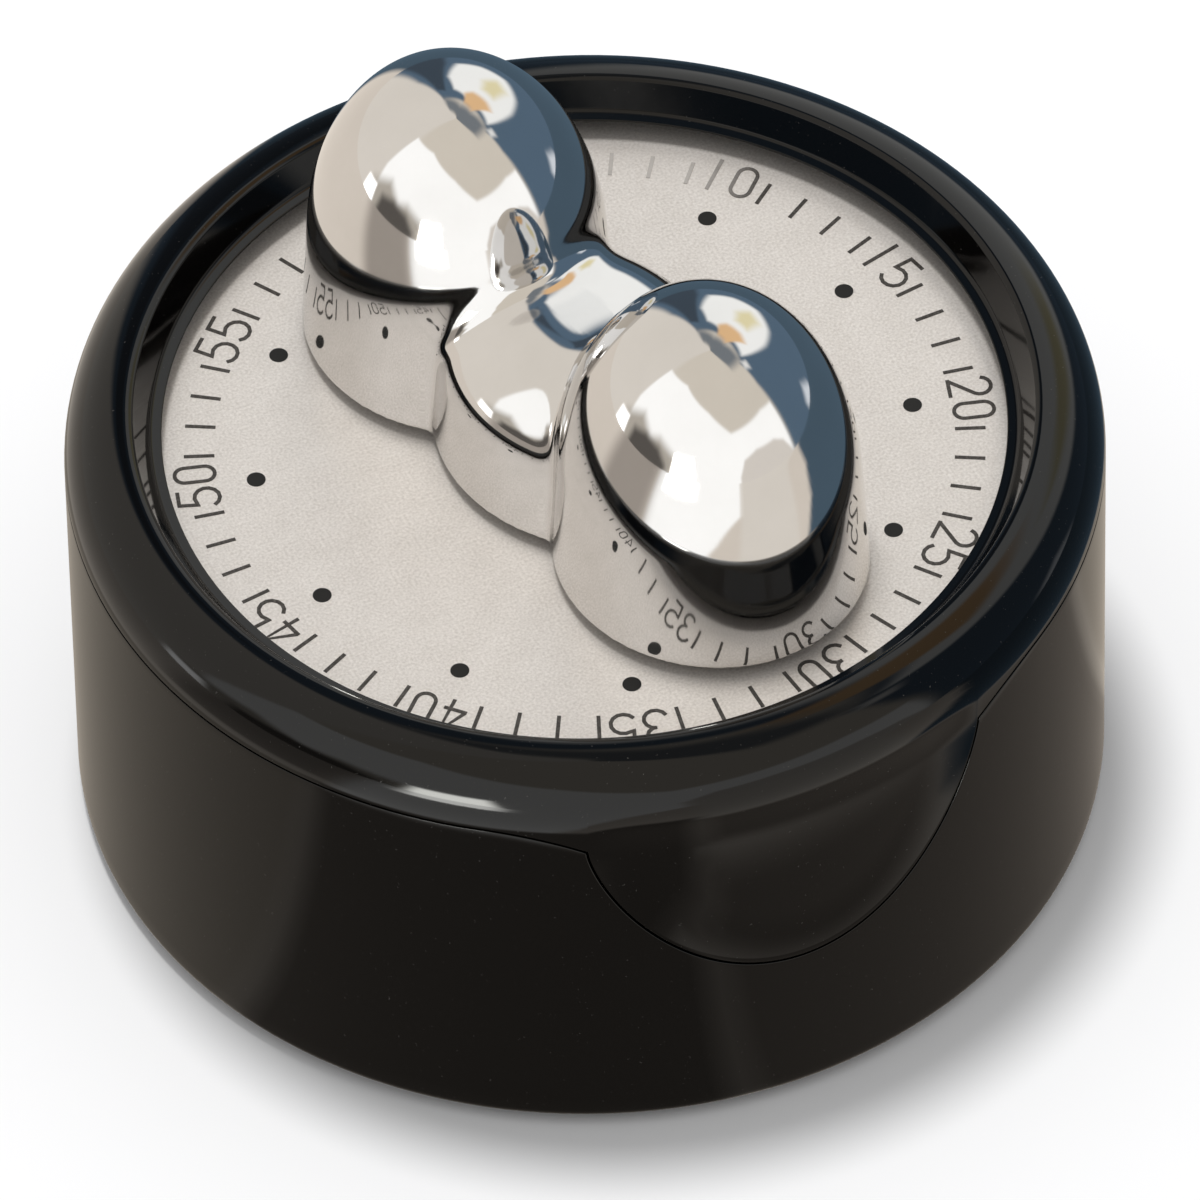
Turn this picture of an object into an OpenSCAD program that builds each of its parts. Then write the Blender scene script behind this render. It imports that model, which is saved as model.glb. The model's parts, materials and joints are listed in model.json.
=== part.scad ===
// Sixty-minute wind-up kitchen timer: a round gloss-black case, a satin metal dial that turns under
// the bezel's lip, a chrome two-lobed knob and the clockwork that drives it. Millimetres, +Z up.
// Origin: centre of the footprint, on the surface that the timer stands on. The scoop faces -Y.

/* [Case] */
// Outer radius of the case
case_r = 40; // [39.5:0.5:40.5]
// Height of the dial's face above the table
dial_z = 34; // [34:0.5:40]
// Thickness of the case wall
wall = 2.4; // [2:0.1:3]
// Gap shown between the case wall and the bezel
reveal = 0.15; // [0.1:0.05:0.3]

/* [Bezel] */
// Inner radius of the bezel's lip
lip_r = 32.4; // [32:0.1:32.8]
// Height of the bezel's rim above the dial
rim_h = 4.45; // [4.4:0.05:4.6]
// Radius of the round shoulder between the wall and the rim
shoulder_r = 5; // [4.8:0.1:5]
// Depth of the joint line below the dial
joint_drop = 0.7; // [0.7:0.1:1.2]
// Half width of the scoop at its upper corners, in degrees
scoop_half = 24; // [18:1:26]
// Height of the scoop up to those corners
scoop_h = 15.7; // [12:0.1:17]
// Height that the joint line dips beside each corner
flare_h = 1.9; // [1.2:0.1:2.2]
// Lean of the scoop's face from upright, in degrees
scoop_lean = 1.5; // [1:0.25:4]
// Radius of the scoop's face seen from above
scoop_face_r = 45.7; // [44:0.1:80]

/* [Dial] */
// Minutes read at the scoop
reading = 32.3; // [0:0.1:59]
// Radius of the dial plate
dial_r = 34.3; // [34:0.1:34.5]
// Outer end of the minute ticks
tick_r = 30.8; // [29:0.1:31]
// Radius of the ring of five-minute dots
dot_ring_r = 25.45; // [24:0.05:26]
// Diameter of one dot
dot_d = 1.45; // [1:0.05:2]
// Width of the printed strokes
ink_w = 0.3; // [0.2:0.05:0.4]

/* [Knob] */
// Distance of each lobe's axis from the dial's centre
lobe_y = 15.7; // [15:0.1:16]
// Radius of a lobe at its foot
lobe_r = 12.3; // [11.5:0.1:12.5]
// Height of the knob above the dial
knob_h = 27.1; // [26:0.1:30]
// Height of the lobe's drafted side above the dial
lobe_side_h = 11.5; // [10:0.1:12]
// Height of the hub's front edge above the dial
hub_h = 9.2; // [8:0.1:10]
// Height of the bridge between the lobes above the dial
hub_top = 14.8; // [14.4:0.1:16]
// Radius of the hub's front and back walls
hub_r = 14.5; // [14:0.1:16]
// Distance of those walls from the knob's middle
hub_reach = 11.2; // [10.5:0.1:12]
// Gap under the knob's foot
knob_gap = 0.9; // [0.6:0.1:1.2]

/* [Clockwork] */
// Radius of the movement's plates
plate_r = 26; // [26:0.5:27]
// Radius of the bell's rim
bell_r = 28; // [26:0.5:28]

/* [Hidden] */
$fn = 96;
eps = 0.01;
main_teeth = 60;                      // teeth: main wheel, second and third, pinions, escape wheel
train_teeth = 64;
leaves = 8;
escape_teeth = 15;
running = 0.05;                       // radial clearance of a pivot in its hole
turn = 6 * (reading - 30);            // turn of the dial from 30 at the scoop
joint_z = dial_z - joint_drop;
rim_z = dial_z + rim_h;
case_in = case_r - wall;
cover_z = 0.8;                        // underside and top of the base cover
cover_top = 3.2;
foot_in = 30;                         // radii of the foot ring
foot_out = 32.3;
post_r = case_in - 2.6;               // case screws: circle, angles, radii
post_angles = [50, 170, 310];
screw_r = 1.1;
screw_head_r = 2.1;
deck_z = dial_z - 6;                  // the deck that carries the movement
deck_t = 1.5;
well_r = case_in - 4;                 // inside of the bezel below the dial, and the top of that part
well_top = dial_z - 1.4;
bore_top = deck_z + 4.3;              // top of the screw bores in the bezel
dial_t = 1;
carrier_z = dial_z - 3.6;
arbor_r = 1.5;
bush_r = 3;                           // knob bush, and the two screws that hold the knob
knob_screw_y = 10;
knob_screw_r = 1;
scoop_w = case_r * sin(scoop_half);   // half width of the scoop at its corners, and of its flared top
flare_w = case_r * sin(scoop_half + 12);
scoop_z = joint_z - flare_h - scoop_h;
top_plate_z = dial_z - 8;             // movement levels
low_plate_z = top_plate_z - 13;
plate_t = 1;
pillar_ring = 23.5;
pillar_angles = [-15, 145, 240];
m_main = 0.5;                         // gear modules
m_second = 0.35;
m_third = 0.3;
main_z = low_plate_z + 6.5;           // wheel levels
second_z = low_plate_z + 3.5;
third_z = low_plate_z + 5.2;
escape_z = low_plate_z + 2;
anchor_z = escape_z + 1;
ratchet_z = main_z + 1.2;
spring_z = ratchet_z + 1.5;
lever_z = low_plate_z + 1.6;
escape_r = 6;
r_two = m_main * (main_teeth + leaves) / 2;
d_three = m_second * (train_teeth + leaves) / 2;
d_four = m_third * (train_teeth + leaves) / 2;
d_five = 8.6;
r_three = 19;                         // arbor distances from the middle
r_four = 19.5;
r_five = 20;
a_two = 20;                           // and their directions, each a triangle on from the last
a_three = a_two + apex(r_two, r_three, d_three);
a_four = a_three + apex(r_three, r_four, d_four);
a_five = a_four + apex(r_four, r_five, d_five);
p_two = at(r_two, a_two);
p_three = at(r_three, a_three);
p_four = at(r_four, a_four);
p_five = at(r_five, a_five);
pin_reach = escape_r + 0.8;           // anchor pins: distance from the escape arbor, half span
pin_span = 30;
spring_post_at = at(14.6, 250);
hammer_pivot = [-20, 0];
hammer_at = [-24, -19.5];
bell_z = 6;

function at(r, a) = [r * cos(a), r * sin(a)];
function apex(p, q, d) = acos((p * p + q * q - d * d) / (2 * p * q));
function bearing(p, q) = atan2(q[1] - p[1], q[0] - p[0]);
function arc(c, r, a0, a1, n) = [for (i = [0:n]) c + at(r, a0 + (a1 - a0) * i / n)];
function unit(v) = v / norm(v);
function side(a, b) = let (u = unit(b - a)) [-u[1], u[0]];
// the mitred normal of a path at point i
function mitre(p, i) = let (
        last = len(p) - 1,
        n0 = side(p[max(i - 1, 0)], p[max(i, 1)]),
        n1 = side(p[min(i, last - 1)], p[min(i + 1, last)]),
        n = unit(n0 + n1)) n / max(n * n1, 0.5);
function band(p, w) = concat([for (i = [0:len(p) - 1]) p[i] + mitre(p, i) * w / 2],
    [for (i = [len(p) - 1:-1:0]) p[i] - mitre(p, i) * w / 2]);

module place(p, z = 0) {
    translate([p[0], p[1], z]) children();
}

module around(r, angles, z = 0) {
    for (a = angles) place(at(r, a), z) rotate(a) children();
}

module ring(ri, ro, h) {
    difference() {
        cylinder(r = ro, h = h);
        translate([0, 0, -1]) cylinder(r = ri, h = h + 2);
    }
}

module holes(points, r) {
    for (p = points) place(p, -50) cylinder(r = r, h = 150);
}

// a wheel's outline: straight-flanked teeth, thick is the share of the pitch at the pitch circle
module toothed(teeth, m, thick, add, ded) {
    r = m * teeth / 2;
    p = 360 / teeth;
    polygon([for (i = [0:teeth - 1]) for (k = [
            [r - ded * m, -thick * 0.62], [r, -thick / 2], [r + add * m, -thick * 0.2],
            [r + add * m, thick * 0.2], [r, thick / 2], [r - ded * m, thick * 0.62]])
        at(k[0], (i + k[1]) * p)]);
}

module wheel(teeth, m, t, bore, spokes, facing) {
    r = m * teeth / 2;
    rim = r - 1.3 * m - 1.1;
    linear_extrude(t) difference() {
        rotate(facing) toothed(teeth, m, 0.44, 0.9, 1.25);
        circle(r = bore);
        for (i = [0:spokes - 1]) rotate(i * 360 / spokes) intersection() {
            difference() {
                circle(r = rim);
                circle(r = bore + 1.6);
            }
            polygon([at(1.5, 180 / spokes), at(2 * rim, 22), at(2 * rim, 360 / spokes - 22)]);
        }
    }
}

module pinion(m, t, facing) {
    linear_extrude(t) rotate(facing) toothed(leaves, m, 0.34, 0.75, 1.35);
}

// an arbor's shaft between the plates, with a thinner pivot in each
module shaft(r, pivot) {
    translate([0, 0, low_plate_z + plate_t + 0.3])
        cylinder(r = r, h = top_plate_z - low_plate_z - plate_t - 0.6);
    translate([0, 0, low_plate_z]) cylinder(r = pivot, h = top_plate_z - low_plate_z + plate_t);
}

module on_dial() {
    rotate(turn) children();
}

// ---------------------------------------------------------------- case

// the scoop's outline, seen from the front: a round bottom, steep sides, and a flare at each corner
module scoop_outline(grow) {
    steps = 40;
    flare = [for (i = [0:6]) let (k = i / 6)
        [scoop_w + grow + (flare_w - scoop_w) * k, -grow - flare_h * pow(1 - k, 2)]];
    polygon(concat([[-flare_w - grow, 12]],
        [for (i = [6:-1:1]) [-flare[i][0], flare[i][1]]],
        [for (i = [-steps:steps]) let (k = i / steps)
            [(scoop_w + grow) * sin(scoop_half * k) / sin(scoop_half),
                -grow - flare_h - scoop_h * pow(1 - k * k, 0.7)]],
        [for (i = [1:6]) flare[i]],
        [[flare_w + grow, 12]]));
}

module scoop_prism(grow) {
    translate([0, -case_in + 12, joint_z]) rotate([90, 0, 0]) linear_extrude(26) scoop_outline(grow);
}

module case_post() {
    translate([0, 0, cover_top]) cylinder(r = 2.8, h = deck_z - cover_top);
}

module housing() {
    color("#151313") difference() {
        union() {
            rotate_extrude() polygon(concat([[case_in, cover_z]],
                arc([case_r - 1, cover_z + 1], 1, -90, 0, 6),
                [[case_r, joint_z - reveal], [case_in, joint_z - reveal]]));
            intersection() {
                around(post_r, post_angles) case_post();
                cylinder(r = case_in + eps, h = 60);
            }
        }
        scoop_prism(reveal);
        holes([for (a = post_angles) at(post_r, a)], screw_r + 0.15);
    }
}

// the bezel's section: thin lip over the dial, hollow inner slope, rim, round shoulder, wall
module bezel_section() {
    seat = case_in - reveal;
    pocket_r = dial_r + 0.5;
    rim_in = case_r - shoulder_r;
    polygon(concat(
        [[well_r, deck_z + deck_t], [seat, deck_z + deck_t], [seat, joint_z], [case_r, joint_z]],
        arc([rim_in, rim_z - shoulder_r], shoulder_r, 0, 90, 11),
        arc([rim_in, rim_z - 0.3], 0.3, 100, 140, 2),
        [[rim_in - 1.35, dial_z + 2.95], [rim_in - 1.65, dial_z + 2.45], [lip_r + 0.7, dial_z + 2.15]],
        arc([lip_r + 0.3, dial_z + 1.72], 0.3, 90, 180, 4),
        [[lip_r, dial_z + 1.55], [pocket_r, dial_z + 1.55], [pocket_r, well_top], [well_r, well_top]]));
}

// what the scoop takes away: all in front of a shallow face that leans back from the outline's foot
module scoop_cut() {
    difference() {
        scoop_prism(0);
        translate([0, -case_r, scoop_z]) rotate([-scoop_lean, 0, 0])
            translate([0, scoop_face_r, -5]) cylinder(r = scoop_face_r, h = 60);
    }
}

module bezel() {
    color("#171514") difference() {
        union() {
            rotate_extrude() bezel_section();
            intersection() {
                ring(case_in, case_r, joint_z);
                scoop_prism(0);
            }
        }
        scoop_cut();
        around(post_r, post_angles, deck_z) cylinder(r = screw_r, h = bore_top - deck_z);
    }
}

module base_cover() {
    color("#222120") difference() {
        translate([0, 0, cover_z]) cylinder(r = case_in - 0.1, h = cover_top - cover_z);
        translate([0, 0, cover_z - 1]) ring(foot_in, foot_out, 2.2);
        around(post_r, post_angles, cover_z - 1) cylinder(r = screw_head_r + 0.2, h = 2);
        holes([for (a = post_angles) at(post_r, a)], screw_r + 0.15);
        holes([[0, 0]], 1.5);
        for (i = [0:11]) rotate(i * 30) translate([12, -0.9, -1]) cube([13, 1.8, 9]);
    }
}

module foot_ring() {
    color("#2b2a29") ring(foot_in, foot_out, cover_z + 1.2);
}

module case_screws() {
    color("silver") around(post_r, post_angles, cover_z) difference() {
        union() {
            cylinder(r = screw_head_r, h = 1);
            cylinder(r = screw_r, h = bore_top - 0.1 - cover_z);
        }
        translate([-3, -0.3, -1]) cube([6, 0.6, 1.5]);
    }
}

// ---------------------------------------------------------------- movement frame

deck_screw_angles = [45, 190, 300];
deck_screw_ring = 21.5;

module deck() {
    color("#2a2928") difference() {
        union() {
            translate([0, 0, deck_z]) cylinder(r = case_in - reveal, h = deck_t);
            around(deck_screw_ring, deck_screw_angles, top_plate_z + plate_t)
                cylinder(r = 2.6, h = deck_z - top_plate_z - plate_t + eps);
        }
        translate([0, 0, deck_z - 3]) cylinder(r = 6.5, h = 9);
        around(deck_screw_ring, deck_screw_angles, deck_z + deck_t - 0.9) cylinder(r = 1.8, h = 3);
        holes([for (a = deck_screw_angles) at(deck_screw_ring, a)], 0.9);
        holes([for (a = post_angles) at(post_r, a)], screw_r + 0.15);
        translate([0, -case_in - 3, deck_z - 1]) cube([2 * scoop_w + 4, 9, 9], center = true);
    }
}

module deck_screws() {
    color("silver") around(deck_screw_ring, deck_screw_angles, top_plate_z) difference() {
        union() {
            cylinder(r = 0.9, h = deck_z + deck_t - top_plate_z);
            translate([0, 0, deck_z + deck_t - 0.9 - top_plate_z]) cylinder(r = 1.7, h = 0.9);
        }
        translate([-3, -0.25, deck_z + deck_t - top_plate_z - 0.4]) cube([6, 0.5, 2]);
    }
}

pivots = [p_two, p_three, p_four, p_five];

module lower_plate() {
    color("#c8a858") translate([0, 0, low_plate_z]) difference() {
        cylinder(r = plate_r, h = plate_t);
        holes(pivots, 0.6 + running);
        holes([[0, 0]], arbor_r + running);
        holes([for (a = pillar_angles) at(pillar_ring, a)], 1);
        holes([hammer_pivot], 0.8);
    }
}

module upper_plate() {
    color("#c8a858") translate([0, 0, top_plate_z]) difference() {
        cylinder(r = plate_r, h = plate_t);
        holes(pivots, 0.6 + running);
        holes([[0, 0]], arbor_r + running);
        holes([for (a = pillar_angles) at(pillar_ring, a)], 1);
        holes([for (a = deck_screw_angles) at(deck_screw_ring, a)], 0.9);
        holes([hammer_pivot], 0.8);
        holes([spring_post_at], 0.8);
    }
}

module pillars() {
    color("#b8984c") around(pillar_ring, pillar_angles, low_plate_z) {
        cylinder(r = 1, h = top_plate_z - low_plate_z + 2);
        translate([0, 0, plate_t]) cylinder(r = 1.5, h = top_plate_z - low_plate_z - plate_t);
    }
}

module pillar_nuts() {
    color("silver") around(pillar_ring, pillar_angles, top_plate_z + plate_t) difference() {
        cylinder(r = 2, h = 0.9, $fn = 6);
        translate([0, 0, -1]) cylinder(r = 1, h = 4);
    }
}

module spring_post() {
    foot_z = spring_z - 0.3;
    color("#b8984c") place(spring_post_at, foot_z) cylinder(r = 0.8, h = top_plate_z + plate_t - foot_z);
}

// ---------------------------------------------------------------- bell

module bell() {
    color("#b9b7b2") translate([0, 0, bell_z]) rotate_extrude() polygon([[1.3, 0], [14, 0], [22, 1.2],
        [26.4, 3.6], [bell_r, 6], [bell_r - 0.9, 6], [25.7, 4.1], [21.7, 2], [14, 0.8], [1.3, 0.8]]);
}

module bell_stud() {
    color("silver") {
        translate([0, 0, cover_z]) cylinder(r = 1.3, h = 8);
        translate([0, 0, cover_top]) cylinder(r = 2.6, h = bell_z - cover_top);
    }
}

module bell_nut() {
    color("silver") translate([0, 0, bell_z + 0.8]) difference() {
        cylinder(r = 2.6, h = 1.3, $fn = 6);
        translate([0, 0, -1]) cylinder(r = 1.3, h = 4);
    }
}

// ---------------------------------------------------------------- knob and dial

// one lobe's section, shrunk by a wall thickness: drafted side under an egg-shaped dome
module lobe_section(inset) {
    foot = lobe_r - inset;
    shoulder = foot - 0.7;
    dome = knob_h - lobe_side_h - inset;
    polygon(concat([[0, knob_gap], [foot, knob_gap]],
        [for (a = [0:6:90]) [shoulder * cos(a), lobe_side_h + dome * sin(a)]]));
}

module knob_screw_holes(z, r, h) {
    for (s = [-1, 1]) translate([0, s * knob_screw_y, z]) cylinder(r = r, h = h);
}

module lobe(inset) {
    for (s = [-1, 1]) translate([0, s * lobe_y, dial_z]) rotate_extrude() lobe_section(inset);
}

// the hub's section about an axis beyond the middle: drafted wall, sharp edge, round top
module hub_section() {
    edge = hub_r - 0.8;
    polygon(concat([[0, knob_gap], [hub_r, knob_gap], [edge, hub_h]],
        [for (a = [24:6:90]) [edge - 8.5 + 9.2 * cos(a), hub_top - 9.2 + 9.2 * sin(a)]]));
}

// the hub: what two such solids have in common, so its front and back are shallow arcs
module knob_hub() {
    intersection_for(s = [-1, 1]) translate([s * (hub_r - hub_reach), 0, dial_z])
        rotate_extrude() hub_section();
}

module knob() {
    color("#d9dadb") on_dial() difference() {
        union() {
            lobe(0);
            knob_hub();
            translate([0, 0, dial_z]) cylinder(r = 6, h = knob_gap + eps);
        }
        difference() {
            lobe(2);
            translate([-3, -12, 0]) cube([6, 24, 100]);
        }
        translate([0, 0, dial_z - 1]) cylinder(r = bush_r, h = 8);
        knob_screw_holes(dial_z - 1, knob_screw_r, 9);
    }
}

module knob_bush() {
    color("#c8a858") translate([0, 0, dial_z]) difference() {
        cylinder(r = bush_r, h = 7);
        translate([0, 0, -1]) cylinder(r = arbor_r, h = 7);
    }
}

module knob_screws() {
    color("silver") on_dial() for (s = [-1, 1]) translate([0, s * knob_screw_y, carrier_z])
        difference() {
            union() {
                cylinder(r = 2, h = 1.2);
                cylinder(r = knob_screw_r, h = 10);
            }
            translate([-3, -0.3, -1]) cube([6, 0.6, 1.5]);
        }
}

module dial_plate() {
    color("#b9b3a8") on_dial() difference() {
        translate([0, 0, dial_z - dial_t]) cylinder(r = dial_r, h = dial_t);
        holes([[0, 0]], bush_r);
        knob_screw_holes(0, knob_screw_r, 50);
    }
}

digit_w = 1.85;
digit_h = 3.4;
ink_t = 0.05;

// centre lines of the digits 1 to 5
function strokes(d) =
    d == 1 ? [[[0.925, 0], [0.925, digit_h]]] :
    d == 2 ? [concat(arc([0.925, 2.5], 0.88, 170, -32, 10), [[0.12, 0.1]]), [[0, 0.12], [1.85, 0.12]]] :
    d == 3 ? [arc([0.9, 2.55], 0.8, 160, -90, 9), arc([0.9, 0.92], 0.9, 90, -160, 9)] :
    d == 4 ? [[[1.35, 0], [1.35, digit_h], [0.1, 1]], [[0, 1], [1.85, 1]]] :
    [concat([[1.7, 3.28], [0.3, 3.28], [0.2, 1.85]], arc([0.9, 1.05], 0.98, 120, -150, 10))];

// an upright oval with round ends, the shape of a nought
module oval(grow) {
    r = digit_w / 2 + grow;
    x = digit_w / 2;
    polygon(concat(arc([x, digit_h - x], r, 0, 180, 12), arc([x, x], r, 180, 360, 12)));
}

module digit(d) {
    if (d == 0) linear_extrude(ink_t) difference() {
        oval(0);
        oval(-ink_w);
    }
    else for (s = strokes(d)) linear_extrude(ink_t) polygon(band(s, ink_w));
}

module numeral(n) {
    gap = 0.62;
    if (n < 10) translate([-digit_w / 2, 0, 0]) digit(n);
    else {
        translate([-digit_w - gap / 2, 0, 0]) digit(floor(n / 10));
        translate([gap / 2, 0, 0]) digit(n % 10);
    }
}

module dial_markings() {
    color("#1c1a19") on_dial() translate([0, 0, dial_z]) for (n = [0:59]) rotate(-6 * n) {
        if (n % 5 == 0) {
            translate([0, dot_ring_r, 0]) cylinder(d = dot_d, h = ink_t, $fn = 48);
            translate([0, tick_r - 2.45, 0]) numeral(n);
        }
        else translate([-ink_w / 2, tick_r - 2.35, 0]) cube([ink_w, 2.35, ink_t]);
    }
}

module dial_carrier() {
    color("#3a3937") on_dial() difference() {
        union() {
            translate([0, 0, carrier_z]) cylinder(r = well_r - 0.9, h = dial_z - dial_t - carrier_z);
            translate([0, 0, deck_z]) cylinder(r = 5, h = 3);
        }
        holes([[0, 0]], arbor_r);
        translate([0, 0, carrier_z - 1]) ring(13, 30.5, 2.2);
        knob_screw_holes(carrier_z - 1, 2, 2.2);
        knob_screw_holes(0, knob_screw_r, 50);
    }
}

// ---------------------------------------------------------------- main arbor

module main_arbor() {
    color("#9a9a9a") difference() {
        union() {
            translate([0, 0, low_plate_z - 1]) cylinder(r = arbor_r, h = dial_z + 6 - low_plate_z + 1);
            translate([0, 0, low_plate_z + plate_t]) cylinder(r = 2.2, h = 0.4);
        }
        translate([0, 0, low_plate_z - 0.75]) ring(1.2, 3, 0.5);
    }
}

module arbor_clip() {
    color("silver") translate([0, 0, low_plate_z - 0.7]) difference() {
        ring(1.2, 2.8, 0.4);
        translate([0, -0.9, -1]) cube([4, 1.8, 3]);
    }
}

module main_wheel() {
    color("#d2b25c") translate([0, 0, main_z]) wheel(main_teeth, m_main, 1.2, arbor_r, 5, a_two);
}

module ratchet_wheel() {
    teeth = 14;
    color("#9a9a9a") translate([0, 0, ratchet_z]) linear_extrude(0.9) difference() {
        polygon([for (i = [0:teeth - 1]) for (k = [[3.3, 0], [4.2, 0.08]])
            at(k[0], (i + k[1]) * 360 / teeth)]);
        circle(r = arbor_r);
    }
}

module trip_cam() {
    color("#3a3937") translate([0, 0, lever_z - 0.2]) linear_extrude(1.2) difference() {
        polygon(concat(arc([0, 0], 3.4, 0, 40, 6),
            [for (a = [50:10:350]) at(3.4 + 2.2 * (a - 40) / 310, a)]));
        circle(r = arbor_r);
    }
}

// ---------------------------------------------------------------- click, on the main wheel

click_at = at(8.4, 150);
click_lean = bearing(click_at, at(4.6, 112));

module click() {
    reach = norm(at(4.6, 112) - click_at);
    color("#9a9a9a") place(click_at, ratchet_z) rotate(click_lean) linear_extrude(0.8) difference() {
        union() {
            circle(r = 1.3);
            polygon([[0, -1.2], [reach, -0.25], [reach, 0.25], [0, 1.2]]);
        }
        circle(r = 0.6 + running);
    }
}

module click_rivet() {
    color("silver") place(click_at, ratchet_z) {
        cylinder(r = 0.6, h = 1.2);
        translate([0, 0, 0.85]) cylinder(r = 1, h = 0.35);
    }
}

module click_spring() {
    color("#77797c") translate([0, 0, ratchet_z]) linear_extrude(0.6)
        polygon(band(concat([at(12.2, 165)], arc([0, 0], 11.2, 160, 118, 8), [at(9.6, 114)]), 0.25));
}

// ---------------------------------------------------------------- mainspring

// a flat spiral strip, from the arbor out to its post
module mainspring() {
    turns = 7;
    step = 12;
    strip = 0.3;
    r0 = 2.2;
    r1 = norm(spring_post_at) - 0.8 - strip / 2 - 0.03;
    a1 = atan2(spring_post_at[1], spring_post_at[0]);
    last = turns * 360 / step;
    color("#5d6f86") translate([0, 0, spring_z]) linear_extrude(3)
        polygon(band([for (i = [0:last]) at(r0 + (r1 - r0) * i / last, a1 + i * step)], strip));
}

// ---------------------------------------------------------------- train

module second_arbor() {
    color("#9a9a9a") place(p_two) {
        shaft(0.9, 0.6);
        translate([0, 0, main_z - 0.5]) pinion(m_main, 2.2, a_two + 180 + 180 / leaves);
    }
}

module second_wheel() {
    color("#d2b25c") place(p_two, second_z)
        wheel(train_teeth, m_second, 0.8, 0.9, 4, bearing(p_two, p_three));
}

module third_arbor() {
    color("#9a9a9a") place(p_three) {
        shaft(0.8, 0.6);
        translate([0, 0, second_z - 0.4])
            pinion(m_second, 1.6, bearing(p_three, p_two) + 180 / leaves);
    }
}

module third_wheel() {
    color("#d2b25c") place(p_three, third_z)
        wheel(train_teeth, m_third, 0.7, 0.8, 4, bearing(p_three, p_four));
}

module escape_arbor() {
    color("#9a9a9a") place(p_four) {
        shaft(0.7, 0.6);
        translate([0, 0, third_z - 0.4])
            pinion(m_third, 1.5, bearing(p_four, p_three) + 180 / leaves);
    }
}

module escape_wheel() {
    color("#d2b25c") place(p_four, escape_z) linear_extrude(0.7) difference() {
        polygon([for (i = [0:escape_teeth - 1])
            for (k = [[4.4, 0], [escape_r, 0.34], [escape_r, 0.44], [4.4, 0.5]])
                at(k[0], (i + k[1]) * 360 / escape_teeth)]);
        circle(r = 0.7);
        for (a = [0:90:270]) rotate(a) translate([2.5, 0]) circle(r = 1);
    }
}

// ---------------------------------------------------------------- anchor

pin_points = [for (s = [-1, 1]) at(pin_reach, bearing(p_four, p_five) + s * pin_span) + p_four - p_five];

module anchor_staff() {
    color("#9a9a9a") place(p_five) shaft(0.8, 0.6);
}

module anchor() {
    color("#9a9a9a") place(p_five, anchor_z) difference() {
        union() {
            cylinder(r = 1.7, h = 0.6);
            for (p = pin_points) {
                linear_extrude(0.6) polygon(band([[0, 0], p], 1.3));
                place(p, -1.2) cylinder(r = 0.4, h = 1.8, $fn = 32);
                place(p) cylinder(r = 0.65, h = 0.6, $fn = 32);
            }
        }
        holes([[0, 0]], 0.8);
    }
}

module inertia_ring() {
    color("#d2b25c") place(p_five, main_z + 2) difference() {
        union() {
            ring(4.6, 6, 1.4);
            for (a = [0, 90]) rotate(a) translate([-5, -0.6, 0]) cube([10, 1.2, 1.4]);
            cylinder(r = 1.6, h = 1.4);
        }
        holes([[0, 0]], 0.8);
    }
}

// ---------------------------------------------------------------- hammer

module hammer_stud() {
    color("silver") place(hammer_pivot, low_plate_z)
        cylinder(r = 0.8, h = top_plate_z - low_plate_z + plate_t);
}

module hammer_lever() {
    tail = [-6.6, 1.5];
    color("#9a9a9a") difference() {
        union() {
            place(hammer_pivot, lever_z) cylinder(r = 2, h = 0.8);
            translate([0, 0, lever_z]) linear_extrude(0.8) {
                polygon(band([tail, hammer_pivot], 1.8));
                polygon(band([hammer_pivot, hammer_at], 2.4));
            }
            place(hammer_at, bell_z + 5.5) cylinder(r = 0.8, h = lever_z - bell_z - 5.5 + 0.8);
        }
        holes([hammer_pivot], 0.8 + running);
    }
}

module hammer_head() {
    color("#c8a858") place(hammer_at, bell_z + 1) difference() {
        cylinder(r = 2, h = 5.6);
        translate([0, 0, 4.5]) cylinder(r = 0.8, h = 3);
    }
}

module hammer_spring() {
    color("#77797c") place(hammer_pivot, lever_z + 1.4) {
        ring(1.1, 1.5, 2.4);
        linear_extrude(0.4) polygon(band([[1.2, 0.6], [0.6, 7]], 0.4));
    }
}

housing();
bezel();
base_cover();
foot_ring();
case_screws();
deck();
deck_screws();
lower_plate();
upper_plate();
pillars();
pillar_nuts();
spring_post();
bell();
bell_stud();
bell_nut();
mainspring();
knob();
knob_bush();
knob_screws();
dial_plate();
dial_markings();
dial_carrier();
main_arbor();
arbor_clip();
main_wheel();
ratchet_wheel();
trip_cam();
click();
click_rivet();
click_spring();
second_arbor();
second_wheel();
third_arbor();
third_wheel();
escape_arbor();
escape_wheel();
anchor_staff();
anchor();
inertia_ring();
hammer_stud();
hammer_lever();
hammer_head();
hammer_spring();
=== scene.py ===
"""Looks for the wind-up kitchen timer: gloss-black case, satin dial, chrome two-lobed knob.

The knob, the bezel and the housing get finer meshes than the CAD, and every other CAD node keeps its
mesh and gets its finish here. Lengths in the mesh code are millimetres; objects are in metres.
"""
import json
import math

import bmesh
import bpy
import numpy as np
from mathutils import Matrix, Vector


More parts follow.
